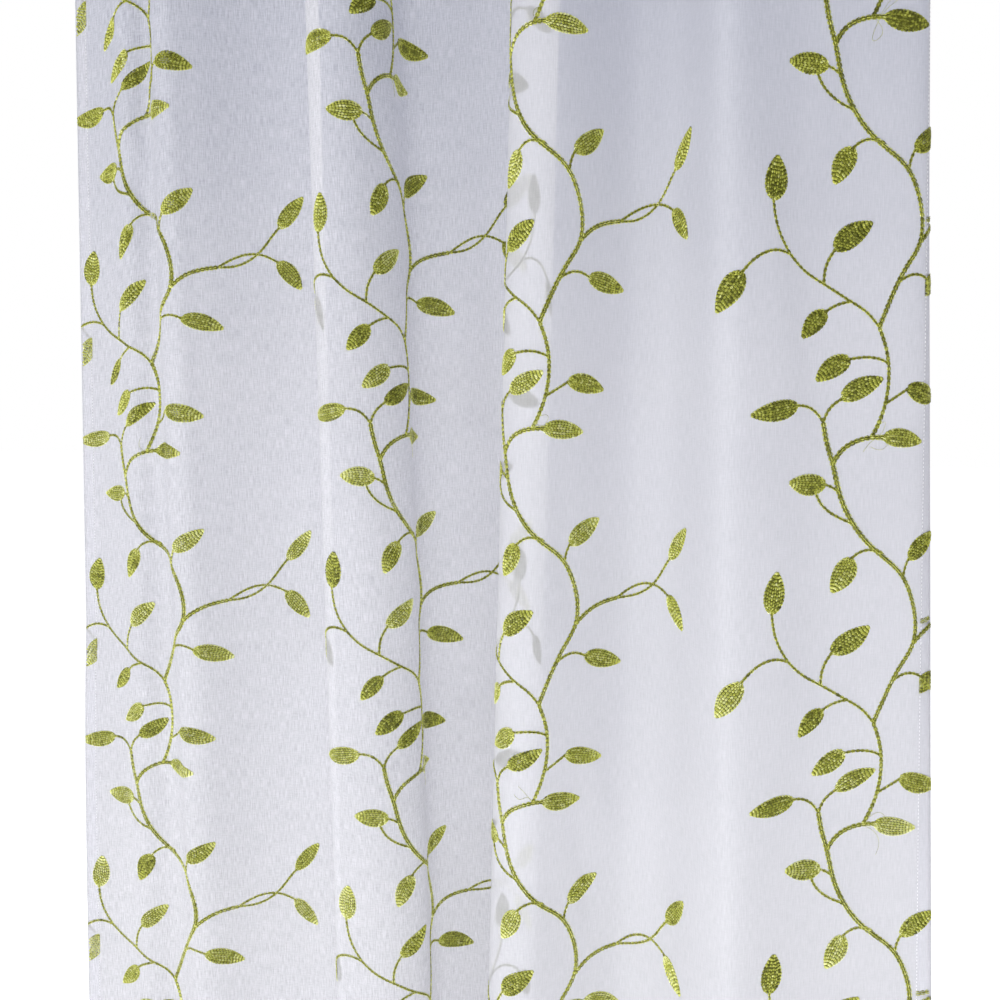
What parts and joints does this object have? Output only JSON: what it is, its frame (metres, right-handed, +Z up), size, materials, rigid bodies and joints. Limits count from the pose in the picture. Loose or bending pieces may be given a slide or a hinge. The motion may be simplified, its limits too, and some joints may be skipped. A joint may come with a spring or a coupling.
{
  "type": "sheer voile curtain panel",
  "caption": "Sheer voile curtain panel hanging in soft uneven folds, embroidered with trailing leafy vines, to filter light at a window.",
  "frame": {"origin": "middle of the top edge, where the rod would pass", "axes": "+X along the top edge, +Y away from the room side, +Z up"},
  "size_m": [0.8951, 0.186, 1.372],
  "materials": {
    "sheer_voile": "matt sheer voile, plain woven",
    "leaf_green_thread": "satin embroidery thread"
  },
  "bodies": {
    "root": {"curtain_panel": "sheer_voile"}
  },
  "joints": []
}
